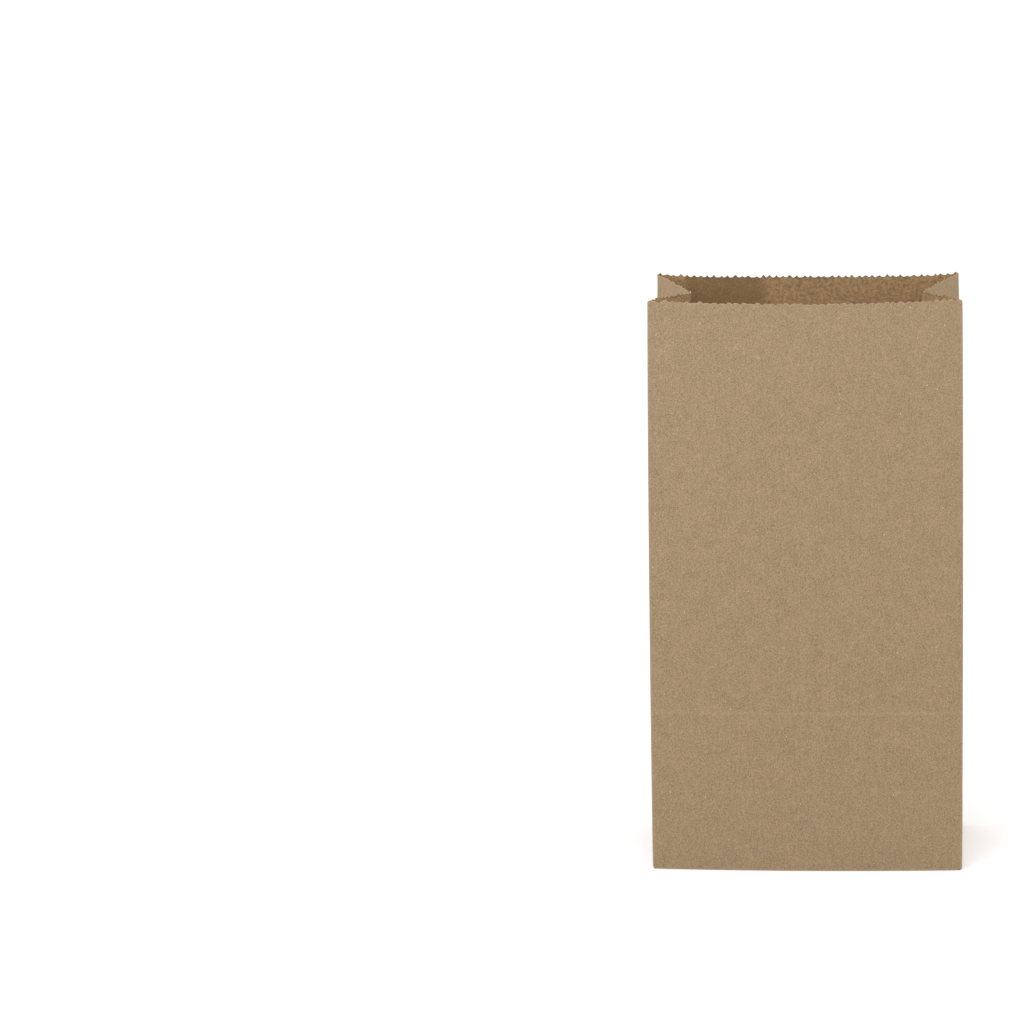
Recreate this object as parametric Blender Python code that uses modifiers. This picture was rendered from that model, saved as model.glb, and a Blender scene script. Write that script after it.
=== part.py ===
"""Brown paper lunch bag, opened and standing: one sheet of kraft paper, folded into a tube with
gusseted sides and glued into a flat rectangular base. Metres, +Z up, front panel towards -Y.
The origin is the middle of the base, on the surface that the bag stands on."""

import math

import bmesh
import bpy

# The blank, flat: the sizes between its creases.
WIDTH = 0.1524  # front and back panels
DEPTH = 0.0794  # side panels, each halved by its gusset crease
HEIGHT = 0.2826  # base fold to the tips of the pinked rim
PAPER = 0.0001  # one layer of kraft paper
FLAP_OVERLAP = 0.018  # the base's back flap over its front flap
FLAP_MARGIN = 0.0006  # the flaps stay this far inside the base's outline

# How the opened bag stands, measured at the mouth unless the name says base or apex.
GUSSET_INSET = 0.0190  # gusset crease, drawn in from the line between the corners
APEX_INSET = 0.0012  # the same where the side's diagonal creases meet
FRONT_BOW = 0.0103  # front panel, bulged out
FRONT_BOW_BASE = 0.0025
FRONT_TUCK_BASE = 0.0014  # width that the front panel's rounded lower corners take up
BACK_BOW = 0.0091  # back panel, pushed in
BACK_FLATNESS = 6  # power of the back's curve: flat in the middle, turned back at the corners
BACK_TUCK = 0.0021  # width that the back panel's curled upper corners take up
MOUTH_SHIFT = 0.0025  # mouth, back over the base
CREASE_DROP = 0.0029  # gusset crease, lower than the corners
FOLD_DENT = 0.0005  # front panel, pressed in along its two cross creases

# The mesh: strips between the creases, each ending in whole teeth.
PANEL_STRIPS = 11
HALF_GUSSET_STRIPS = 3
STRIP_TEETH = 4
TOOTH_HEIGHT = 0.0013
UPPER_ROWS = 5

HALF_DEPTH = DEPTH / 2
KRAFT = (0.39, 0.29, 0.18, 1.0)
KRAFT_ROUGHNESS = 0.9


def clear_scene():
    for thing in list(bpy.data.objects):
        bpy.data.objects.remove(thing, do_unlink=True)


def kraft_paper():
    material = bpy.data.materials.new("kraft_paper")
    material.use_nodes = True
    shader = material.node_tree.nodes["Principled BSDF"]
    shader.inputs["Base Color"].default_value = KRAFT
    shader.inputs["Roughness"].default_value = KRAFT_ROUGHNESS
    shader.inputs["Metallic"].default_value = 0.0
    return material


def crease_inset(height):
    """How far the gusset crease stands in from the line between the two corners."""
    if height < HALF_DEPTH:
        return APEX_INSET * height / HALF_DEPTH
    rise = (height - HALF_DEPTH) / (HEIGHT - HALF_DEPTH)
    return APEX_INSET + (GUSSET_INSET - APEX_INSET) * rise


def chord(bow, power):
    """Straight width of a panel that bows by this much and keeps its paper width."""
    return WIDTH - (power * bow) ** 2 / (WIDTH / 2 * (2 * power - 1))


def dent(height):
    """The cross creases of the base fold: one at half the depth, one at the whole depth."""
    reach = DEPTH / 6
    return sum(
        FOLD_DENT * max(0.0, 1 - abs(height - crease) / reach)
        for crease in (HALF_DEPTH, DEPTH)
    )


def stance(height):
    """Corner places and bows at this height of the opened bag."""
    rise = height / HEIGHT
    front_bow = FRONT_BOW_BASE + (FRONT_BOW - FRONT_BOW_BASE) * rise**1.5
    back_bow = BACK_BOW * rise**1.5
    inset = crease_inset(height)
    half_gap = math.sqrt(HALF_DEPTH**2 - inset**2)
    middle = MOUTH_SHIFT * rise
    front_width = chord(front_bow, 2) - FRONT_TUCK_BASE * (1 - rise) ** 2
    back_width = chord(back_bow, BACK_FLATNESS) - BACK_TUCK * rise
    return {
        "front_bow": front_bow,
        "back_bow": back_bow,
        "inset": inset,
        "front": (front_width / 2, middle - half_gap),
        "back": (back_width / 2, middle + half_gap),
    }


def front_point(across, height):
    """across runs from -1 at the left corner to 1 at the right one."""
    at = stance(height)
    bulge = at["front_bow"] * (1 - across**2) - dent(height) * (1 - abs(across) ** 8)
    return across * at["front"][0], at["front"][1] - bulge, height


def back_point(across, height):
    at = stance(height)
    push = at["back_bow"] * (1 - abs(across) ** BACK_FLATNESS)
    return across * at["back"][0], at["back"][1] - push, height


def side_point(side, across, height):
    """across runs from -1 at the front corner, by 0 at the gusset crease, to 1 at the back one.
    side is 1 on the right and -1 on the left."""
    at = stance(height)
    corner = at["front"] if across < 0 else at["back"]
    crease_x = (at["front"][0] + at["back"][0]) / 2
    crease_y = (at["front"][1] + at["back"][1]) / 2
    share = abs(across)
    inward = at["inset"] * (1 - share)
    if height < HALF_DEPTH:
        # Below the apex the flat triangle leans in from the base as one face.
        inward = min(APEX_INSET * (1 - share), at["inset"])
    x = crease_x + (corner[0] - crease_x) * share - inward
    y = crease_y + (corner[1] - crease_y) * share
    return side * x, y, height - CREASE_DROP * (1 - share) * height / HEIGHT


def strip_edges():
    """The functions of height that run up the strips' edges, counter-clockwise from above,
    starting at the front left corner, and whether each strip's cells split the other way."""
    edges = []
    for i in range(PANEL_STRIPS):
        edges.append((front_point, (2 * i / PANEL_STRIPS - 1,), False))
    for i in range(2 * HALF_GUSSET_STRIPS):
        across = i / HALF_GUSSET_STRIPS - 1
        edges.append((side_point, (1, across), across >= 0))
    for i in range(PANEL_STRIPS):
        edges.append((back_point, (1 - 2 * i / PANEL_STRIPS,), False))
    for i in range(2 * HALF_GUSSET_STRIPS):
        across = 1 - i / HALF_GUSSET_STRIPS
        edges.append((side_point, (-1, across), across <= 0))
    return edges


def row_heights():
    """Rows that meet the diagonal creases of the sides, then even ones up to the teeth."""
    lower = [i * HALF_DEPTH / HALF_GUSSET_STRIPS for i in range(HALF_GUSSET_STRIPS + 1)]
    top = HEIGHT - TOOTH_HEIGHT
    upper = [DEPTH + (top - DEPTH) * i / UPPER_ROWS for i in range(UPPER_ROWS + 1)]
    return lower + upper


def between(a, b, share):
    return a.co + (b.co - a.co) * share


def add_wall(bm, rows, edges):
    """The cells between the strip edges and the rows, each as two triangles."""
    count = len(edges)
    for low, high in zip(rows, rows[1:]):
        for i in range(count):
            j = (i + 1) % count
            if edges[i][2]:
                bm.faces.new((low[i], low[j], high[i]))
                bm.faces.new((low[j], high[j], high[i]))
            else:
                bm.faces.new((low[i], low[j], high[j]))
                bm.faces.new((low[i], high[j], high[i]))


def add_pinked_rim(bm, low, high, edges):
    """The last row of cells, whose upper edge is cut to teeth. Each tooth is one triangle, and
    the cell under four of them is a fan from its two lower corners."""
    count = len(edges)
    for i in range(count):
        j = (i + 1) % count
        line = [high[i]]
        for k in range(1, STRIP_TEETH):
            line.append(bm.verts.new(between(high[i], high[j], k / STRIP_TEETH)))
        line.append(high[j])
        middle = STRIP_TEETH // 2
        for k in range(STRIP_TEETH):
            foot = low[i] if k < middle else low[j]
            bm.faces.new((foot, line[k + 1], line[k]))
            place = between(line[k], line[k + 1], 0.5)
            place.z += TOOTH_HEIGHT
            bm.faces.new((line[k], line[k + 1], bm.verts.new(place)))
        bm.faces.new((low[i], low[j], line[middle]))


def folded_sheet(collection, material):
    """The walls and the inside layer of the base as an open surface, with the paper's thickness
    added inwards."""
    bm = bmesh.new()
    edges = strip_edges()
    rows = []
    for height in row_heights():
        rows.append([bm.verts.new(place(*at, height)) for place, at, _ in edges])
    add_wall(bm, rows[:-1], edges)
    add_pinked_rim(bm, rows[-2], rows[-1], edges)
    base = bm.faces.new(tuple(reversed(rows[0])))
    bmesh.ops.triangulate(bm, faces=[base])
    mesh = bpy.data.meshes.new("paper_bag")
    bm.to_mesh(mesh)
    bm.free()
    mesh.materials.append(material)
    bag = bpy.data.objects.new("paper_bag", mesh)
    bag.location.z = 2 * PAPER  # on the two base flaps
    collection.objects.link(bag)
    layer = bag.modifiers.new("paper", "SOLIDIFY")
    layer.thickness = PAPER
    layer.offset = -1
    layer.use_even_offset = True
    return bag


def base_flap(name, collection, side, low, high):
    """A glued base flap, seen from below as a trapezium with its corners folded at 45 degrees.
    side is -1 for the front flap and 1 for the back flap."""
    bm = bmesh.new()
    fold = HALF_DEPTH - FLAP_MARGIN
    reach = HALF_DEPTH + FLAP_OVERLAP / 2
    wide = WIDTH / 2 - 2 * FLAP_MARGIN
    narrow = WIDTH / 2 - reach
    outline = ((-wide, fold), (wide, fold), (narrow, fold - reach), (-narrow, fold - reach))
    face = bm.faces.new([bm.verts.new((x, side * y, low)) for x, y in outline])
    grown = bmesh.ops.extrude_face_region(bm, geom=[face])
    for part in grown["geom"]:
        if isinstance(part, bmesh.types.BMVert):
            part.co.z = high
    bmesh.ops.recalc_face_normals(bm, faces=bm.faces)
    mesh = bpy.data.meshes.new(name)
    bm.to_mesh(mesh)
    bm.free()
    flap = bpy.data.objects.new(name, mesh)
    flap.hide_render = True
    flap.display_type = "WIRE"
    collection.objects.link(flap)
    return flap


def join(body, other):
    union = body.modifiers.new(other.name, "BOOLEAN")
    union.operation = "UNION"
    union.object = other


def main():
    clear_scene()
    parts = bpy.data.collections.new("paper_lunch_bag")
    helpers = bpy.data.collections.new("base_flaps")
    bpy.context.scene.collection.children.link(parts)
    bpy.context.scene.collection.children.link(helpers)
    bag = folded_sheet(parts, kraft_paper())
    into_base = 2.5 * PAPER
    join(bag, base_flap("front_flap", helpers, -1, PAPER, into_base))
    join(bag, base_flap("back_flap", helpers, 1, 0.0, into_base))


main()
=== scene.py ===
import math

import bpy
import numpy as np
from mathutils import Matrix, Vector


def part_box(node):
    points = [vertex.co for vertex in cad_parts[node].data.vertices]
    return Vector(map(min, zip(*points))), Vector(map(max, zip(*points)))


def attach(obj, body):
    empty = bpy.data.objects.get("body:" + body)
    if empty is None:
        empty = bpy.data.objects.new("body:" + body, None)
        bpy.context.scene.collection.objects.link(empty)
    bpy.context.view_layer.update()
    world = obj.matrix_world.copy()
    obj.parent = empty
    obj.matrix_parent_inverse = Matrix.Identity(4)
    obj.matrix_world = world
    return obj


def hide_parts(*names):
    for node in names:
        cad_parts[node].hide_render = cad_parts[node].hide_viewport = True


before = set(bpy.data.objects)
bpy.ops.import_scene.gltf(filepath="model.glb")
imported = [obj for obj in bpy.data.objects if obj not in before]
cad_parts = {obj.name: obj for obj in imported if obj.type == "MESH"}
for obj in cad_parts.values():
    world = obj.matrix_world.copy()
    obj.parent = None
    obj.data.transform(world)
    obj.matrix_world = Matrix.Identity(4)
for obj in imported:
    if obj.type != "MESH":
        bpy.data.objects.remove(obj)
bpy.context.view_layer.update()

mm = 0.001
far = 20 * mm  # stands for "no fold or edge near"
bagLow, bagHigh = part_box("paper_bag")
framePoints = np.array([vertex.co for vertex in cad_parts["paper_bag"].data.vertices])
nearFloor = framePoints[framePoints[:, 2] < 1 * mm]

# The sheet between its folds, read from the frame.
bagWidth = bagHigh.x - bagLow.x
bagDepth = 2 * nearFloor[:, 1].max()
baseLift = 0.2 * mm  # the two glued flaps under the bag
bagHeight = bagHigh.z - baseLift
halfDepth = bagDepth / 2
perimeter = 2 * (bagWidth + bagDepth)
cornerMarks = (0.0, bagWidth, bagWidth + bagDepth, 2 * bagWidth + bagDepth)
gussetMarks = (bagWidth + halfDepth, 2 * bagWidth + bagDepth + halfDepth)
front, rightSide, back, leftSide = range(4)

# How the opened bag stands, at the mouth unless the name says base or apex.
stand = {
    "gussetInset": 19.0 * mm,
    "apexInset": 1.2 * mm,
    "frontBow": 10.3 * mm,
    "frontBowBase": 2.5 * mm,
    "frontTuckBase": 1.5 * mm,
    "backBow": 9.1 * mm,
    "backFlatness": 6,
    "backTuck": 1.3 * mm,
    "mouthShift": 2.5 * mm,
    "creaseDrop": 2.9 * mm,
}

# The paper, its folds, and the unevenness of a bag that was stored flat.
sheet = {
    "paper": 0.1 * mm,
    "foldRadius": 0.26 * mm,
    "cornerRadius": 1.7 * mm,  # extra, where three folds meet at the floor
    "cornerLift": 1.5 * mm,
    "cornerReach": 1.8 * mm,
    "pressDepth": 0.14 * mm,  # the line that the folded base pressed across the front
    "pressBelow": 4.0 * mm,
    "pressAbove": 6.5 * mm,
    "kneeDepth": 0.04 * mm,  # the fold level with the gussets' lower ends
    "waves": {front: 0.12 * mm, rightSide: 0.28 * mm, back: 0.30 * mm, leftSide: 0.28 * mm},
    "waveTurns": (4, 15),
    "waveLength": (60, 150),
    "waveFade": 9 * mm,
    "waveFadeBase": 25 * mm,
    "seed": 11,
}

# The glued lap of the tube, left of the back's middle, measured from there, and the painted shade on
# its inside face, which stands in for less light coming through two layers.
lap = {
    "from": 21.5 * mm,
    "to": 62 * mm,
    "edge": 0.06 * mm,
    "ease": 3 * mm,
    "soft": 3.5 * mm,  # its darker tone fades in over this much
    "baseEase": (2 * mm, 12 * mm),
}

# The base: two glued flaps below, the two ends lying inside.
baseFlaps = {
    "overlap": 18 * mm,
    "margin": 0.5 * mm,
    "endMargin": 1.6 * mm,
    "endSideMargin": 1.1 * mm,
    "endLift": 0.25 * mm,
    "cells": (40, 14),
}

# The pinked rim. For each panel: shares of the full height, half width over pitch, fullness of the
# lobes, sharpness of the peaks, and bend of the tips.
rim = {
    "panelTeeth": 44,
    "halfGussetTeeth": 12,
    "toothHeight": 1.4 * mm,
    "valleyDrop": 0.1 * mm,
    "peakJitter": 0.15,
    "cuts": {
        front: {"height": (0.25, 0.85), "half": (0.45, 0.55), "full": 2.2, "sharp": 1.1, "bend": 0.20 * mm},
        back: {"height": (0.50, 1.05), "half": (0.36, 0.50), "full": 1.0, "sharp": 1.5, "bend": 0.18 * mm},
        rightSide: {"height": (0.35, 0.80), "half": (0.42, 0.56), "full": 1.2, "sharp": 1.1, "bend": 0.18 * mm},
        leftSide: {"height": (0.35, 0.80), "half": (0.42, 0.56), "full": 1.2, "sharp": 1.1, "bend": 0.18 * mm},
    },
    "bendLength": 0.8 * mm,
    "cornerCalm": 9 * mm,  # the gussets' teeth are pressed flat near the front corners
    "curl": 0.7 * mm,  # the back left corner's last tooth curls in
    "curlHeight": 1.75 * mm,
    "crushedHeight": 0.5 * mm,
    "ragged": 0.07 * mm,
    "seed": 5,
}

# A small nick and buckle beside the front left corner.
snag = {
    "at": 5.4 * mm,
    "width": 0.8 * mm,
    "depth": 0.9 * mm,
    "push": 0.35 * mm,
    "pull": 0.21 * mm,
    "pushBeside": 0.6 * mm,
    "pullBeside": -0.8 * mm,
    "length": 3.5 * mm,
}

# Mesh spacing.
grid = {
    "panelColumns": 88,
    "halfGussetColumns": 24,
    "rowStep": 3.6 * mm,
    "fineColumn": 0.43 * mm,
    "nearFold": (0.3 * mm, 0.75 * mm),
    "underRows": (-0.9 * mm, -0.5 * mm, -0.22 * mm),  # round the base fold on to the floor
    "pressRow": 1.2 * mm,
    "lowerRows": 12,
    "fineFrom": 4.6 * mm,  # below the rim
    "rimFrom": 3.0 * mm,
    "rimShares": (0, 0.4, 0.7, 0.88, 1),
    "floorShares": (0.06, 0.25, 0.55, 0.9),
}


def smoothStep(low, high, value):
    share = np.clip((value - low) / (high - low), 0, 1)
    return share * share * (3 - 2 * share)


def panelOf(u):
    return np.searchsorted(cornerMarks, np.mod(u, perimeter), side="right") - 1


def roundGap(u, marks):
    # Distance round the tube to the nearest mark.
    gaps = [np.abs(np.mod(u - mark + perimeter / 2, perimeter) - perimeter / 2) for mark in marks]
    return np.minimum.reduce(gaps)


def chord(bow, power):
    # Straight width of a panel that bows this much and keeps its paper width.
    return bagWidth - (power * bow) ** 2 / (bagWidth / 2 * (2 * power - 1))


def stanceAt(height):
    # Bows, inset and corner places at this height; they match the frame's.
    height = np.maximum(height, 0)
    rise = height / bagHeight
    climb = np.maximum(height - halfDepth, 0) / (bagHeight - halfDepth)
    inset = stand["apexInset"] * np.minimum(height / halfDepth, 1)
    inset = inset + (stand["gussetInset"] - stand["apexInset"]) * climb
    frontBow = stand["frontBowBase"] + (stand["frontBow"] - stand["frontBowBase"]) * rise**1.5
    backBow = stand["backBow"] * rise**1.5
    halfGap = np.sqrt(halfDepth**2 - inset**2)
    middle = stand["mouthShift"] * rise
    frontX = (chord(frontBow, 2) - stand["frontTuckBase"] * (1 - rise) ** 2) / 2
    backX = (chord(backBow, stand["backFlatness"]) - stand["backTuck"] * rise) / 2
    return frontBow, backBow, inset, frontX, middle - halfGap, backX, middle + halfGap


def pressedIn(height):
    # Depth of the two cross folds of the front panel.
    above = 1 - (height - bagDepth) / sheet["pressAbove"]
    below = 1 - (bagDepth - height) / sheet["pressBelow"]
    press = sheet["pressDepth"] * np.clip(np.minimum(above, below), 0, 1)
    knee = 1 - np.abs(height - halfDepth) / sheet["pressBelow"]
    return press + sheet["kneeDepth"] * np.clip(knee, 0, 1)


def foldedPlace(u, v):
    # The sheet with sharp folds. u runs round the tube from the front left corner, v up from the
    # base fold; below it the sheet goes on inwards along the floor.
    u = np.mod(u, perimeter)
    panel = panelOf(u)
    tuckIn = np.maximum(-v, 0)
    frontBow, backBow, inset, frontX, frontY, backX, backY = stanceAt(v)
    height = np.maximum(v, 0)

    across = 2 * u / bagWidth - 1
    frontY = frontY + tuckIn
    bulge = frontBow * (1 - across**2) - pressedIn(height) * (1 - np.abs(across) ** 8)
    onFront = np.stack([across * frontX, frontY - bulge, height], axis=-1)

    across = 1 - 2 * (u - bagWidth - bagDepth) / bagWidth
    push = backBow * (1 - np.abs(across) ** stand["backFlatness"])
    onBack = np.stack([across * backX, backY - push - tuckIn, height], axis=-1)

    side = np.where(u < bagWidth + bagDepth, 1.0, -1.0)
    along = np.where(side > 0, u - bagWidth, perimeter - u) / halfDepth - 1  # front to back
    share = np.abs(along)
    low = np.minimum(stand["apexInset"] * (1 - share), inset)  # one face below the apex
    inward = np.where(v < halfDepth, low, inset * (1 - share))
    middleX = (frontX + backX) / 2
    middleY = (frontY - tuckIn + backY) / 2
    cornerX = np.where(along < 0, frontX, backX)
    cornerY = np.where(along < 0, frontY - tuckIn, backY)
    onGusset = np.stack([
        side * (middleX + (cornerX - middleX) * share - inward - tuckIn),
        middleY + (cornerY - middleY) * share,
        height - stand["creaseDrop"] * (1 - share) * height / bagHeight], axis=-1)

    at = np.where((panel == front)[..., None], onFront, onGusset)
    at = np.where((panel == back)[..., None], onBack, at)
    # Mitred where the flaps meet under the corners.
    mostX = np.where(at[..., 1] < 0, frontX, backX) - tuckIn
    leastY = np.where(panel == front, -1.0, frontY)
    mitredX = np.clip(at[..., 0], -mostX, mostX)
    mitredY = np.clip(at[..., 1], leastY, backY - tuckIn)
    at[..., 0] = np.where(v < 0, mitredX, at[..., 0])
    at[..., 1] = np.where(v < 0, mitredY, at[..., 1])
    return at


def roundedPlace(u, v):
    # Averages over a small patch, so that every fold has a radius.
    nearBase = np.exp(-np.maximum(v, 0) / sheet["cornerReach"])
    nearCorner = nearBase * np.exp(-(roundGap(u, cornerMarks) / sheet["cornerReach"]) ** 2)
    reachU = sheet["foldRadius"] + sheet["cornerRadius"] * nearBase
    reachV = sheet["foldRadius"] + sheet["cornerLift"] * nearCorner
    at = 0
    for stepU, weightU in ((-1, 1), (-0.5, 2), (0, 3), (0.5, 2), (1, 1)):
        for stepV, weightV in ((-1, 1), (0, 2), (1, 1)):
            at = at + weightU * weightV / 36 * foldedPlace(u + stepU * reachU, v + stepV * reachV)
    return at


waveRandom = np.random.default_rng(sheet["seed"])
waves = [
    {
        "turns": int(waveRandom.integers(*sheet["waveTurns"])),
        "length": waveRandom.uniform(*sheet["waveLength"]) * mm,
        "phase": waveRandom.uniform(0, 2 * math.pi, 2),
        "size": waveRandom.uniform(0.5, 1.0),
    }
    for _ in range(9)
]


def waveOut(u, v):
    # Soft unevenness of the panels, gone at the folds.
    total = 0
    for wave in waves:
        aroundWave = np.cos(2 * math.pi * wave["turns"] * u / perimeter + wave["phase"][0])
        upWave = np.cos(2 * math.pi * v / wave["length"] + wave["phase"][1])
        total = total + wave["size"] * aroundWave * upWave / 2.2
    size = np.array([sheet["waves"][panel] for panel in range(4)])[panelOf(u)]
    fade = smoothStep(0, sheet["waveFade"], roundGap(u, cornerMarks))
    gussetFade = smoothStep(0, sheet["waveFade"], roundGap(u, gussetMarks))
    fade = fade * np.where(v > halfDepth, gussetFade, 1) * smoothStep(0, sheet["waveFadeBase"], v)
    return size * fade * total


def outwards(u, v):
    step = 0.12 * mm
    alongU = roundedPlace(u + step, v) - roundedPlace(u - step, v)
    alongV = roundedPlace(u, v + step) - roundedPlace(u, v - step)
    normal = np.cross(alongU, alongV)
    return normal / np.linalg.norm(normal, axis=-1, keepdims=True)


def cutTeeth():
    # Every tooth round the rim, from the front left corner.
    random = np.random.default_rng(rim["seed"])
    teeth = []
    for panel, start in enumerate(cornerMarks):
        wide = panel in (front, back)
        count = rim["panelTeeth"] if wide else 2 * rim["halfGussetTeeth"]
        pitch = (bagWidth if wide else bagDepth) / count
        cut = rim["cuts"][panel]
        for i in range(count):
            teeth.append({
                "at": start + pitch * (i + 0.5 + random.uniform(-1, 1) * rim["peakJitter"]),
                "half": pitch * random.uniform(*cut["half"]),
                "height": rim["toothHeight"] * random.uniform(*cut["height"]),
                "full": cut["full"] * random.uniform(0.8, 1.25),
                "sharp": cut["sharp"] * random.uniform(0.8, 1.25),
                "bend": cut["bend"] * random.normal(0, 1),
            })
    lastBack = 2 * rim["panelTeeth"] + 2 * rim["halfGussetTeeth"] - 1
    teeth[lastBack].update(height=rim["curlHeight"], bend=-rim["curl"])
    for beside in (lastBack - 1, lastBack - 2):
        teeth[beside].update(height=rim["crushedHeight"], full=2.5)
    return teeth


teeth = cutTeeth()


def snagShape(u):
    return np.exp(-(roundGap(u, (snag["at"],)) / snag["width"]) ** 2)


def rimLine(u):
    # Height of the cut edge, and how far the teeth there bend outwards at their tips.
    low = np.full(u.shape, bagHeight - rim["toothHeight"] - rim["valleyDrop"])
    height = low.copy()
    bend = np.zeros(u.shape)
    for tooth in teeth:
        gap = np.minimum(roundGap(u, (tooth["at"],)) / tooth["half"], 1)
        top = low + tooth["height"] * (1 - gap ** tooth["full"]) ** tooth["sharp"]
        bend = np.where(top > height, tooth["bend"], bend)
        height = np.maximum(top, height)
    frontCorner = roundGap(u, cornerMarks[:2])
    frontGusset = (panelOf(u) % 2 == 1) & (frontCorner < halfDepth)
    calm = 0.2 + 0.8 * smoothStep(0, rim["cornerCalm"], frontCorner)
    height = low + (height - low) * np.where(frontGusset, calm, 1)
    return height - snag["depth"] * snagShape(u), bend


def columnPlaces():
    # Where the columns stand round the tube: even ones, and more at every fold and at the lap.
    near = np.array(grid["nearFold"])
    halfMarks = np.linspace(0, halfDepth, grid["halfGussetColumns"] + 1)
    halfMarks = np.unique(np.concatenate([halfMarks, near, halfDepth - near]).round(7))
    panelMarks = np.linspace(0, bagWidth, grid["panelColumns"] + 1)
    panelMarks = np.unique(np.concatenate([panelMarks, near, bagWidth - near]).round(7))
    lapMarks = [bagWidth / 2 + lap[name] + step
                for name in ("from", "to") for step in (-lap["edge"], lap["edge"])]
    clear = [mark for mark in panelMarks if min(abs(mark - other) for other in lapMarks) > 0.3 * mm]
    backMarks = np.sort(np.concatenate([clear, lapMarks]))
    sideMarks = np.concatenate([halfMarks[:-1], bagDepth - halfMarks[::-1]])
    runs = zip(cornerMarks, (panelMarks, sideMarks, backMarks, sideMarks))
    return halfMarks, np.concatenate([start + marks[:-1] for start, marks in runs])


def rowPlaces(halfMarks):
    top = bagHeight - grid["fineFrom"]
    press = bagDepth + np.array([
        -sheet["pressBelow"], -grid["pressRow"], 0, grid["pressRow"], sheet["pressAbove"]])
    even = np.linspace(halfDepth, bagDepth, grid["lowerRows"])[1:]
    lower = even[even < press[0] - 1.5 * mm]
    upper = np.linspace(press[-1], top, int((top - press[-1]) / grid["rowStep"]) + 1)[1:]
    return np.concatenate([grid["underRows"], halfMarks, lower, press, upper])


def lapAt(u):
    # Extra standing out of the outer and inner faces at the glued lap, and the painted shade on its inside
    # face.
    run = np.mod(u, perimeter) - (bagWidth + bagDepth + bagWidth / 2)
    started = np.clip((run - lap["from"] + lap["edge"]) / (2 * lap["edge"]), 0, 1)
    ended = np.clip((run - lap["to"] + lap["edge"]) / (2 * lap["edge"]), 0, 1)
    inside = started * (1 - smoothStep(lap["to"], lap["to"] + lap["ease"], run))
    outside = smoothStep(lap["from"] - lap["ease"], lap["from"], run) * (1 - ended)
    # The lap's painted shade, with soft edges.
    tone = smoothStep(lap["from"] - lap["soft"], lap["from"] + lap["soft"], run)
    tone = tone * (1 - smoothStep(lap["to"] - lap["soft"], lap["to"] + lap["soft"], run))
    return outside, inside, tone


def foldGaps(u, v):
    # Distance in the sheet to the nearest hard fold, and to the nearest pressed line.
    u = np.mod(u, perimeter)
    corner = roundGap(u, cornerMarks)
    diagonal = np.abs(v - corner) / math.sqrt(2)
    crease = np.where(v > halfDepth, roundGap(u, gussetMarks), diagonal)
    hard = np.minimum(corner, np.abs(v))
    hard = np.where(panelOf(u) % 2 == 1, np.minimum(hard, crease), hard)
    frontHalf = (u > perimeter - halfDepth) | (u < bagWidth + halfDepth)
    pressed = np.where(u <= bagWidth, np.abs(v - bagDepth), far)
    knee = np.minimum(pressed, np.abs(v - halfDepth) + 0.5 * mm)
    return hard, np.where(frontHalf, knee, pressed)


class SheetMesh:
    # Gathers points, faces and the values that the paper's material reads at each point.
    def __init__(self):
        self.points = []
        self.faces = []
        self.slots = []
        self.values = {"foldGap": [], "pressGap": [], "rimGap": [], "lap": [], "tooth": []}
        self.count = 0

    def addPoints(self, points, **values):
        points = np.asarray(points).reshape(-1, 3)
        first = self.count
        self.points.append(points)
        for name, kept in self.values.items():
            usual = far if name.endswith("Gap") else 0
            kept.append(np.broadcast_to(np.asarray(values.get(name, usual)), len(points)))
        self.count += len(points)
        return np.arange(first, self.count)

    def addFaces(self, faces, slot):
        self.faces += [tuple(int(i) for i in face) for face in faces]
        self.slots += [slot] * len(faces)


outerSlot, innerSlot, edgeSlot = 0, 1, 2


def addLayer(mesh, u, v, bend, rimGap):
    # One row of points on both faces of the paper; returns their numbers.
    outward = outwards(u, v)
    buckle = (snag["push"] * snagShape(u - snag["pushBeside"])
              - snag["pull"] * snagShape(u - snag["pullBeside"]))
    buckle = buckle * smoothStep(bagHeight - snag["length"], bagHeight - 0.8 * mm, v)
    lean = bend * np.exp(-rimGap / rim["bendLength"])
    middle = roundedPlace(u, v) + outward * (waveOut(u, v) + lean + buckle)[:, None]
    middle[:, 2] += baseLift + sheet["paper"] / 2
    valley = bagHeight - rim["toothHeight"] - rim["valleyDrop"]
    tooth = np.clip((v - valley) / rim["toothHeight"], 0, 1)
    outside, inside, lapTone = lapAt(u)
    ease = smoothStep(*lap["baseEase"], v)
    hard, pressed = foldGaps(u, v)
    rows = []
    # Only the inner face carries the lap's painted shade.
    for sign, extra in ((1, outside), (-1, inside)):
        offset = sign * sheet["paper"] * (0.5 + extra * ease)
        rows.append(mesh.addPoints(
            middle + outward * offset[:, None], foldGap=hard, pressGap=pressed, rimGap=rimGap,
            tooth=tooth, lap=lapTone * ease if sign < 0 else 0))
    return rows


def joinRows(mesh, low, high, slot, flip, splits=None):
    # splits is 1 or -1 where a cell is cut along one diagonal or the other.
    if splits is None:
        splits = np.zeros(len(low))
    for a, b, c, d, split in zip(low, np.roll(low, -1), np.roll(high, -1), high, splits):
        if split > 0:
            faces = [(a, b, c), (a, c, d)]
        elif split < 0:
            faces = [(a, b, d), (b, c, d)]
        else:
            faces = [(a, b, c, d)]
        mesh.addFaces([face[::-1] for face in faces] if flip else faces, slot)


def addFloor(mesh, border, slot, flip):
    # The base inside the folded edge: rings towards its middle line.
    at = np.concatenate(mesh.points)[border]
    reach = (bagWidth - bagDepth) / 2
    goal = np.stack([np.clip(at[:, 0], -reach, reach), 0 * at[:, 1], at[:, 2]], axis=-1)
    last = border
    for share in grid["floorShares"]:
        ring = mesh.addPoints(at + (goal - at) * share)
        joinRows(mesh, ring, last, slot, flip)
        last = ring
    mesh.addFaces([last if flip else last[::-1]], slot)


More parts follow.
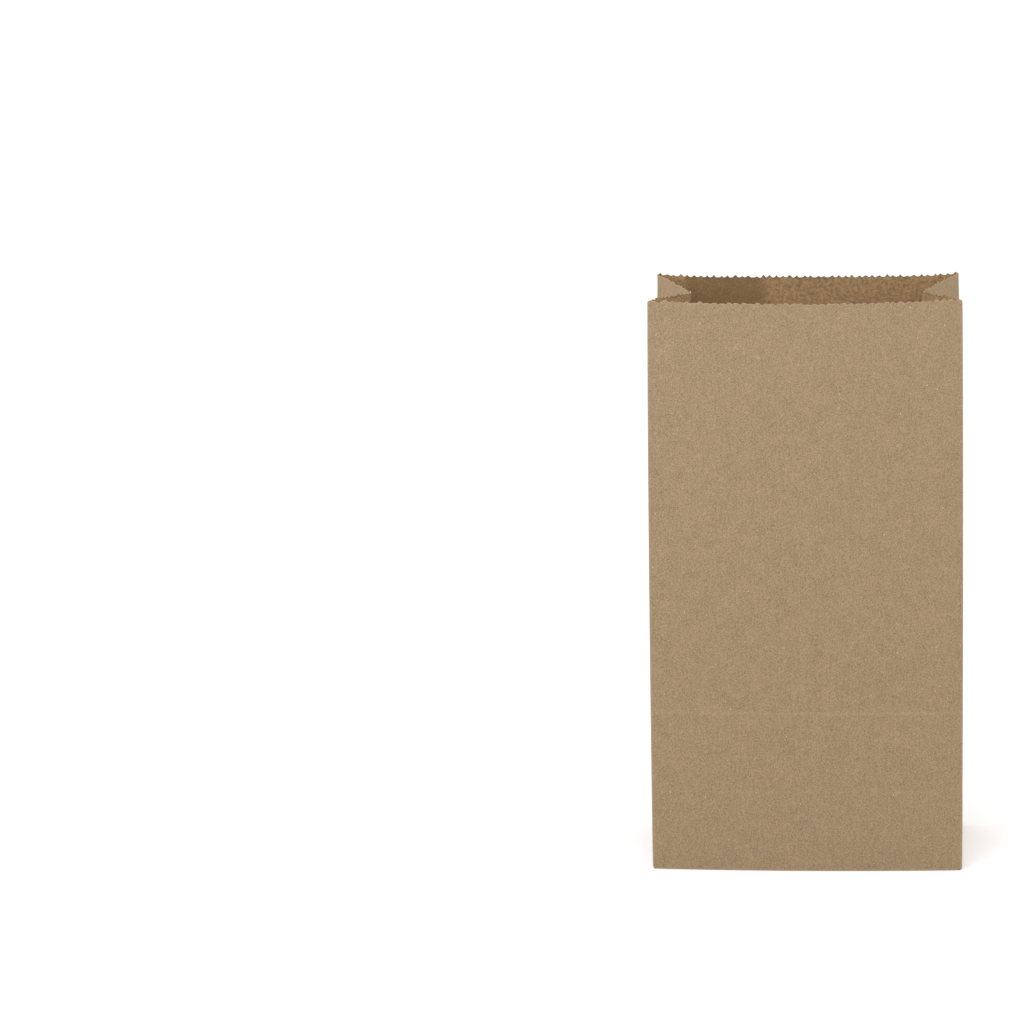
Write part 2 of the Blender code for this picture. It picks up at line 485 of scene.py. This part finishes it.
def addFlap(mesh, corners, low, lift):
    # A flap as its own thin sheet: two corners at the fold, then two at the free edge, which
    # lift raises a little, unevenly.
    across, along = baseFlaps["cells"]
    s, t = np.meshgrid(np.linspace(0, 1, across + 1), np.linspace(0, 1, along + 1))
    c = [np.array(corner) for corner in corners]
    atFold = c[0] + (c[1] - c[0]) * s[..., None]
    atFree = c[3] + (c[2] - c[3]) * s[..., None]
    flat = atFold + (atFree - atFold) * t[..., None]
    ripple = lift * t**6 * (0.55 + 0.45 * np.cos(5 * math.pi * s + 0.8))
    gap = np.minimum(np.minimum(s, 1 - s), 1 - t) * 60 * mm
    layers = []
    for level in (low, low + 0.9 * sheet["paper"]):
        points = np.concatenate([flat, (level + ripple)[..., None]], axis=-1)
        layers.append(mesh.addPoints(points, rimGap=gap.reshape(-1)).reshape(s.shape))
    turn = (c[1] - c[0])[0] * (c[3] - c[0])[1] - (c[1] - c[0])[1] * (c[3] - c[0])[0]
    for layer, up, slot in ((layers[0], False, outerSlot), (layers[1], True, innerSlot)):
        quads = np.stack([layer[:-1, :-1], layer[:-1, 1:], layer[1:, 1:], layer[1:, :-1]], axis=-1)
        quads = quads.reshape(-1, 4)
        mesh.addFaces(quads if up == (turn > 0) else quads[:, ::-1], slot)
    loops = [np.concatenate([layer[0, :-1], layer[:-1, -1], layer[-1, :0:-1], layer[:0:-1, 0]])
             for layer in layers]
    joinRows(mesh, loops[0], loops[1], edgeSlot, flip=turn < 0)


def addWalls(mesh, columns, halfMarks):
    heights = rowPlaces(halfMarks)
    panel = panelOf(columns)
    start = np.array(cornerMarks)[panel]
    diagonal = np.where(panel % 2 == 1, np.where(columns - start < halfDepth - 1e-6, 1, -1), 0)
    lineHeight, _ = rimLine(columns)
    outer, inner = [], []
    for height in heights:
        v = np.full(columns.shape, height)
        rows = addLayer(mesh, columns, v, 0 * columns, lineHeight - height)
        outer.append(rows[0])
        inner.append(rows[1])
    for i in range(len(heights) - 1):
        splits = diagonal if 0 <= heights[i] < halfDepth - 1e-6 else None
        joinRows(mesh, outer[i], outer[i + 1], outerSlot, False, splits)
        joinRows(mesh, inner[i], inner[i + 1], innerSlot, True, splits)
    addFloor(mesh, outer[0], outerSlot, False)
    addFloor(mesh, inner[0], innerSlot, True)
    return outer[-1], inner[-1]


def addRim(mesh, columns, below):
    # Each cell under the rim splits into narrow columns that can follow the teeth.
    widths = np.diff(np.append(columns, perimeter))
    parts = np.maximum(1, np.round(widths / grid["fineColumn"]).astype(int))
    fine = np.concatenate([start + width * np.arange(n) / n
                           for start, width, n in zip(columns, widths, parts)])
    starts = np.concatenate([[0], np.cumsum(parts)])
    cut, bend = rimLine(fine)
    cut = cut + rim["ragged"] * np.random.default_rng(rim["seed"]).normal(0, 1, len(fine))
    bend = np.convolve(np.concatenate([bend[-2:], bend, bend[:2]]), [0.1, 0.2, 0.4, 0.2, 0.1], "valid")
    foot = bagHeight - grid["rimFrom"]
    last = None
    for share in grid["rimShares"]:
        height = foot + (cut - foot) * share
        rows = addLayer(mesh, fine, height, bend, cut - height)
        for layer, slot, flip in ((0, outerSlot, False), (1, innerSlot, True)):
            if last is not None:
                joinRows(mesh, last[layer], rows[layer], slot, flip)
                continue
            row = np.append(rows[layer], rows[layer][0])
            for i in range(len(columns)):
                nextColumn = (i + 1) % len(columns)
                upper = row[starts[i]:starts[i + 1] + 1][::-1]
                face = [below[layer][i], below[layer][nextColumn], *upper]
                mesh.addFaces([face[::-1] if flip else face], slot)
        last = rows
    joinRows(mesh, last[0], last[1], edgeSlot, False)


def addBaseFlaps(mesh):
    edge = halfDepth - baseFlaps["margin"]
    reach = halfDepth + baseFlaps["overlap"] / 2
    wide = bagWidth / 2 - 2 * baseFlaps["margin"]
    narrow = bagWidth / 2 - reach
    for side, low in ((-1, sheet["paper"]), (1, 0.0)):
        fold, free = side * edge, side * (edge - reach)
        addFlap(mesh, [(-wide, fold), (wide, fold), (narrow, free), (-narrow, free)], low, 0.0)
    edge = halfDepth - baseFlaps["endSideMargin"]
    for side in (-1, 1):
        fold, free = side * (bagWidth / 2 - baseFlaps["endMargin"]), side * narrow
        corners = [(fold, -edge), (fold, edge), (free, edge), (free, -edge)]
        addFlap(mesh, corners, baseLift + 1.3 * sheet["paper"], baseFlaps["endLift"])


def buildBag():
    mesh = SheetMesh()
    halfMarks, columns = columnPlaces()
    below = addWalls(mesh, columns, halfMarks)
    addRim(mesh, columns, below)
    addBaseFlaps(mesh)
    return mesh


def makeObject(name, built, materials):
    mesh = bpy.data.meshes.new(name)
    mesh.from_pydata(np.concatenate(built.points).tolist(), [], built.faces)
    for material in materials:
        mesh.materials.append(material)
    mesh.polygons.foreach_set("material_index", np.array(built.slots, np.int32))
    mesh.polygons.foreach_set("use_smooth", np.ones(len(built.faces), bool))
    for key, kept in built.values.items():
        attribute = mesh.attributes.new(key, "FLOAT", "POINT")
        attribute.data.foreach_set("value", np.concatenate(kept).astype(np.float32))
    mesh.update()
    mesh.set_sharp_from_angle(angle=math.radians(55))
    made = bpy.data.objects.new(name, mesh)
    bpy.context.scene.collection.objects.link(made)
    return made


def colour(hexValue):
    # sRGB hex to linear RGBA.
    parts = [int(hexValue[i:i + 2], 16) / 255 for i in (1, 3, 5)]
    return tuple(c / 12.92 if c <= 0.04045 else ((c + 0.055) / 1.055) ** 2.4 for c in parts) + (1.0,)


def addNode(tree, kind, settings=None, sockets=None, out=0):
    # Adds a node and returns one of its outputs; a socket takes a value or another output.
    node = tree.nodes.new(kind)
    for key, value in (settings or {}).items():
        setattr(node, key, value)
    for key, value in (sockets or {}).items():
        if isinstance(value, bpy.types.NodeSocket):
            tree.links.new(value, node.inputs[key])
        else:
            node.inputs[key].default_value = value
    return node.outputs[out] if len(node.outputs) else None


# Unbleached kraft paper, machine made, unglazed: matt, brown, its fibres
# lying mostly up the web, with dark shives and pale fibres scattered through it. Single fibres are
# 0.03 mm wide and wouldn't show, so the speckle stands for tufts of them.
kraftPaper = {
    "body": "#998162",
    # Lighter along folds: rubbed fibres and a painted highlight. The cut edge: pale fibres here, painted shade
    # inside.
    "wornAndHighlight": "#B19D81",
    "cutEdgeAndShade": "#BFAC90",
    "lapTone": "#FFFFFF",
    # Outside, the rim band a little lighter and the tooth tips a painted highlight.
    "rimToneAndShade": 1.04,
    "toothHighlightAndShade": 1.12,
    "roughness": 0.88,
    "specular": 0.28,
    "bump": 0.05 * mm,
    "bumpStrength": 0.55,
    # How much lighter and darker each pattern makes it.
    "speckle": 0.76,
    "grain": 0.10,
    "cloud": 0.12,
    "fibre": 0.12,
    "paintedLookThrough": 0.0,
    # Size, detail, roughness, stretch and distortion of each pattern.
    "patterns": {
        "speckle": (0.62 * mm, 2.0, 0.7, (1, 1, 1), 0.0),
        "grain": (0.9 * mm, 2.0, 0.6, (1, 1, 0.12), 0.0),
        "cloud": (7.5 * mm, 3.0, 0.6, (1, 1, 1), 0.0),
        "curls": (3.2 * mm, 1.5, 0.5, (1, 1, 1), 0.6),
        "breaks": (2.6 * mm, 1.0, 0.6, (1, 1, 0.8), 0.0),
        "formation": (1.7 * mm, 3.0, 0.7, (1, 1, 1), 0.0),
        "rubbing": (1.4 * mm, 2.0, 0.6, (1, 1, 1), 0.0),
    },
    "patternTurn": (0.6, 0.8, 0.35),  # so that no panel lies along the noise's own cells
    # Distances from folds and edges over which each mark fades out.
    "rimBand": (0.1 * mm, 1.1 * mm),
    "cutLine": (0.02 * mm, 0.3 * mm),
    "foldLine": (0.2 * mm, 1.3 * mm),
    "pressLine": (0.1 * mm, 1.6 * mm),
    "foldRubAndHighlight": 0.7,
    "pressRubAndHighlight": 0.26,
    "cutLineStrength": 0.5,
    # A few cells of a scatter hold one fleck each: spacing, stretch, share, radius, colour, strength.
    "flecks": (
        (2.9 * mm, (1, 1, 1.4), 0.18, 0.11, "#6B5138", 0.80),
        (1.6 * mm, (1, 1, 1.2), 0.12, 0.17, "#755B3F", 0.55),
        (3.4 * mm, (1.3, 1.3, 0.6), 0.16, 0.10, "#CDBDA4", 0.80),
    ),
}

# The same sheet from inside, with painted light. The paper is thin enough that light comes through it;
# a lighter body and a mottling of its uneven formation are painted in for that wherever it is one layer
# thick, and painted shade darkens the double lap. Its rim band, tooth tips and cut edge get painted shade.
kraftPaperInside = dict(
    kraftPaper, body="#B29065", paintedLookThrough=0.74, lapTone="#DAD8CF", rimToneAndShade=0.82, toothHighlightAndShade=0.52,
    wornAndHighlight="#B39A78", cutEdgeAndShade="#94795A")


def paperMaterial(name, look):
    material = bpy.data.materials.new(name)
    material.use_nodes = True
    tree = material.node_tree
    tree.nodes.clear()
    where = addNode(tree, "ShaderNodeTexCoord", out="Object")
    pattern = {}
    for key, (size, detail, roughness, stretch, distortion) in look["patterns"].items():
        spot = addNode(tree, "ShaderNodeMapping", None, {
            "Vector": where, "Scale": stretch, "Rotation": look["patternTurn"]})
        pattern[key] = addNode(tree, "ShaderNodeTexNoise", None, {
            "Vector": spot, "Scale": 1 / size, "Detail": detail, "Roughness": roughness,
            "Distortion": distortion})
    value = {key: addNode(tree, "ShaderNodeAttribute", {"attribute_name": key}, out="Fac")
             for key in ("foldGap", "pressGap", "rimGap", "lap", "tooth")}

    # Curled fibres stand on the zero lines of a slow noise, broken up by another.
    centred = addNode(tree, "ShaderNodeMath", {"operation": "SUBTRACT"}, {0: pattern["curls"], 1: 0.5})
    ridge = addNode(tree, "ShaderNodeMath", {"operation": "ABSOLUTE"}, {0: centred})
    marks = {}
    for key, source, (near, end) in (
            ("curl", ridge, (0.0, 0.035)),
            ("piece", pattern["breaks"], (0.40, 0.55)),
            ("rimBand", value["rimGap"], look["rimBand"]),
            ("cutLine", value["rimGap"], look["cutLine"]),
            ("foldLine", value["foldGap"], look["foldLine"]),
            ("pressLine", value["pressGap"], look["pressLine"])):
        marks[key] = addNode(tree, "ShaderNodeMapRange", {"interpolation_type": "SMOOTHSTEP"}, {
            "Value": source, "From Min": near, "From Max": end, "To Min": 1.0, "To Max": 0.0})
    pattern["fibre"] = addNode(tree, "ShaderNodeMath", {"operation": "MULTIPLY"}, {
        0: marks["curl"], 1: marks["piece"]})

    # The patterns' sum is 1 on average, and multiplies the body colour.
    tone = 1 - look["speckle"] - look["grain"] - look["cloud"]
    for key, amount in (("speckle", 2 * look["speckle"]), ("grain", 2 * look["grain"]),
                        ("cloud", 2 * look["cloud"]), ("fibre", look["fibre"])):
        tone = addNode(tree, "ShaderNodeMath", {"operation": "MULTIPLY_ADD"}, {
            0: pattern[key], 1: amount, 2: tone})
    # Painted light coming through the paper: its formation's mottling, only where it is one layer thick.
    if look["paintedLookThrough"]:
        single = addNode(tree, "ShaderNodeMath", {"operation": "SUBTRACT"}, {0: 1.0, 1: value["lap"]})
        uneven = addNode(tree, "ShaderNodeMath", {"operation": "SUBTRACT"}, {
            0: pattern["formation"], 1: 0.5})
        glow = addNode(tree, "ShaderNodeMath", {"operation": "MULTIPLY"}, {0: single, 1: uneven})
        tone = addNode(tree, "ShaderNodeMath", {"operation": "MULTIPLY_ADD"}, {
            0: glow, 1: 2 * look["paintedLookThrough"], 2: tone})
    # Rim band and tooth tips: outside a little lighter, the tips a painted highlight; inside, painted shade.
    for band, amount in ((marks["rimBand"], look["rimToneAndShade"]), (value["tooth"], look["toothHighlightAndShade"])):
        change = addNode(tree, "ShaderNodeMath", {"operation": "MULTIPLY_ADD"}, {
            0: band, 1: amount - 1, 2: 1.0})
        tone = addNode(tree, "ShaderNodeMath", {"operation": "MULTIPLY"}, {0: tone, 1: change})
    body = colour(look["body"])
    # The lap's painted shade darkens the inside's colour.
    for share, tint in ((1.0, tone), (value["lap"], colour(look["lapTone"]))):
        body = addNode(tree, "ShaderNodeMix", {"data_type": "RGBA", "blend_type": "MULTIPLY"}, {
            0: share, 6: body, 7: tint}, out=2)

    # Flecks, then the marks along the folds: lighter there, partly because the outer fibres are stretched
    # and rubbed and partly as a painted highlight; then the cut line.
    layers = []
    for size, stretch, few, radius, hexValue, strength in look["flecks"]:
        spot = addNode(tree, "ShaderNodeMapping", None, {
            "Vector": where, "Scale": stretch, "Rotation": look["patternTurn"]})
        gap = addNode(tree, "ShaderNodeTexVoronoi", None, {"Vector": spot, "Scale": 1 / size})
        draw = addNode(tree, "ShaderNodeSeparateColor", None, {"Color": gap.node.outputs["Color"]})
        chosen = addNode(tree, "ShaderNodeMath", {"operation": "LESS_THAN"}, {0: draw, 1: few})
        spread = addNode(tree, "ShaderNodeMapRange", {"interpolation_type": "SMOOTHSTEP"}, {
            "Value": gap, "From Min": radius / 2, "From Max": radius, "To Min": strength, "To Max": 0.0})
        layers.append((chosen, spread, hexValue))
    layers += [
        # Lighter along folds and pressed lines: rubbed fibres and a painted highlight.
        (marks["foldLine"], pattern["rubbing"], look["wornAndHighlight"], look["foldRubAndHighlight"]),
        (marks["pressLine"], pattern["rubbing"], look["wornAndHighlight"], look["pressRubAndHighlight"]),
        # The cut line: pale fibres outside, painted shade inside.
        (marks["cutLine"], 1.0, look["cutEdgeAndShade"], look["cutLineStrength"]),
    ]
    for first, second, hexValue, *strength in layers:
        share = addNode(tree, "ShaderNodeMath", {"operation": "MULTIPLY"}, {0: first, 1: second})
        for amount in strength:
            share = addNode(tree, "ShaderNodeMath", {"operation": "MULTIPLY"}, {0: share, 1: amount})
        body = addNode(tree, "ShaderNodeMix", {"data_type": "RGBA"}, {
            0: share, 6: body, 7: colour(hexValue)}, out=2)

    height = pattern["speckle"]
    for key, amount in (("fibre", 0.35), ("grain", 0.5)):
        height = addNode(tree, "ShaderNodeMath", {"operation": "MULTIPLY_ADD"}, {
            0: pattern[key], 1: amount, 2: height})
    bump = addNode(tree, "ShaderNodeBump", None, {
        "Strength": look["bumpStrength"], "Distance": look["bump"], "Height": height})
    shader = addNode(tree, "ShaderNodeBsdfPrincipled", None, {
        "Base Color": body, "Roughness": look["roughness"], "Metallic": 0.0, "IOR": 1.5,
        "Specular IOR Level": look["specular"], "Normal": bump})
    addNode(tree, "ShaderNodeOutputMaterial", None, {"Surface": shader})
    return material


print("folding the bag")
bag = makeObject("kraft_bag", buildBag(), [
    paperMaterial("kraft_paper_outside", kraftPaper),
    paperMaterial("kraft_paper_inside", kraftPaperInside),
    paperMaterial("kraft_paper_cut_edge", dict(kraftPaper, rimToneAndShade=1.0)),
])
print("bag has", len(bag.data.polygons), "faces")
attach(bag, "root")
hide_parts("paper_bag")

# Studio: a white acrylic table that is lit a little from below, so that the bag hardly shades it,
# even white surroundings, a large soft light above the camera and one at each side.
studio = {
    "tableColour": "#FBFBFB",
    "tableGlow": 0.22,
    "tableRoughness": 0.95,
    "tableSpecular": 0.1,
    "tableSize": 16.0,
    "tableDrop": 0.02 * mm,
    "skyColour": (1.0, 0.99, 0.965, 1.0),
    "skyAtHorizon": 0.38,
    "skyOverhead": 1.08,
    "lamps": {
        "key": {
            "place": (-0.08, -0.42, 0.64), "aim": (0, -0.04, 0.26), "size": 0.30, "power": 1.20,
            "tint": (0.91, 1.0, 1.28)},
        "left": {
            "place": (-1.2, -0.25, 0.5), "aim": (0, 0, 0.14), "size": 0.5, "power": 3.2,
            "tint": (0.95, 1.0, 1.12)},
        "right": {
            "place": (1.2, -0.25, 0.5), "aim": (0, 0, 0.14), "size": 0.5, "power": 2.8,
            "tint": (0.95, 1.0, 1.12)},
    },
}

print("setting the studio")
half = studio["tableSize"] / 2
tableMesh = bpy.data.meshes.new("table_top")
tableCorners = [(-half, -half, 0), (half, -half, 0), (half, half, 0), (-half, half, 0)]
tableMesh.from_pydata(tableCorners, [], [(0, 1, 2, 3)])
tableTop = bpy.data.objects.new("table_top", tableMesh)
tableTop.location.z = -studio["tableDrop"]
bpy.context.scene.collection.objects.link(tableTop)
acrylic = bpy.data.materials.new("backlit_white_acrylic")
acrylic.use_nodes = True
acrylicShader = acrylic.node_tree.nodes["Principled BSDF"]
acrylicShader.inputs["Base Color"].default_value = colour(studio["tableColour"])
acrylicShader.inputs["Emission Color"].default_value = colour(studio["tableColour"])
acrylicShader.inputs["Emission Strength"].default_value = studio["tableGlow"]
acrylicShader.inputs["Roughness"].default_value = studio["tableRoughness"]
acrylicShader.inputs["Specular IOR Level"].default_value = studio["tableSpecular"]
tableMesh.materials.append(acrylic)

room = bpy.data.worlds.new("white_room")
room.use_nodes = True
direction = addNode(room.node_tree, "ShaderNodeTexCoord", out="Generated")
overhead = addNode(room.node_tree, "ShaderNodeSeparateXYZ", None, {"Vector": direction}, out="Z")
brightness = addNode(room.node_tree, "ShaderNodeMapRange", None, {
    "Value": overhead, "From Min": 0.0, "From Max": 1.0,
    "To Min": studio["skyAtHorizon"], "To Max": studio["skyOverhead"]})
roomShader = room.node_tree.nodes["Background"]
roomShader.inputs["Color"].default_value = studio["skyColour"]
room.node_tree.links.new(brightness, roomShader.inputs["Strength"])
bpy.context.scene.world = room
bpy.context.scene.view_settings.view_transform = "Standard"

for name, lamp in studio["lamps"].items():
    light = bpy.data.lights.new(name, "AREA")
    light.energy = lamp["power"]
    light.size = lamp["size"]
    light.color = lamp["tint"]
    softbox = bpy.data.objects.new(name, light)
    softbox.location = lamp["place"]
    softbox.rotation_euler = (Vector(lamp["aim"]) - softbox.location).to_track_quat("-Z", "Y").to_euler()
    softbox.visible_camera = False
    bpy.context.scene.collection.objects.link(softbox)

# Camera: a long lens, almost square on to the front and a little above it, turned to leave the bag
# at the right of the picture. Angles in degrees, lengths in metres and the lens in millimetres.
view = {
    "azimuth": 1.295,
    "elevation": 13.953,
    "distance": 2.621,
    "lens": 187.86,
    "sensor": 36,
    "turn": -3.162,
    "tilt": 0.629,
    "roll": -0.252,
}


def turned(first, second, degrees):
    # Both directions after a turn from the first towards the second.
    c, s = math.cos(math.radians(degrees)), math.sin(math.radians(degrees))
    return first * c + second * s, second * c - first * s


azimuth, elevation = math.radians(view["azimuth"]), math.radians(view["elevation"])
level = Vector((math.sin(azimuth), -math.cos(azimuth), 0))
backwards = level * math.cos(elevation) + Vector((0, 0, math.sin(elevation)))
forwards = -backwards
right = forwards.cross(Vector((0, 0, 1))).normalized()
upwards = right.cross(forwards)
forwards, right = turned(forwards, right, view["turn"])
forwards, upwards = turned(forwards, upwards, view["tilt"])
right, upwards = turned(right, upwards, view["roll"])
cameraData = bpy.data.cameras.new("camera")
cameraData.lens = view["lens"]
cameraData.sensor_width = view["sensor"]
camera = bpy.data.objects.new("camera", cameraData)
stance = Matrix((right, upwards, -forwards)).transposed().to_4x4()
spot = Vector((0, 0, bagHeight / 2)) + backwards * view["distance"]
camera.matrix_world = Matrix.Translation(spot) @ stance
bpy.context.scene.collection.objects.link(camera)
bpy.context.scene.camera = camera

print("done")
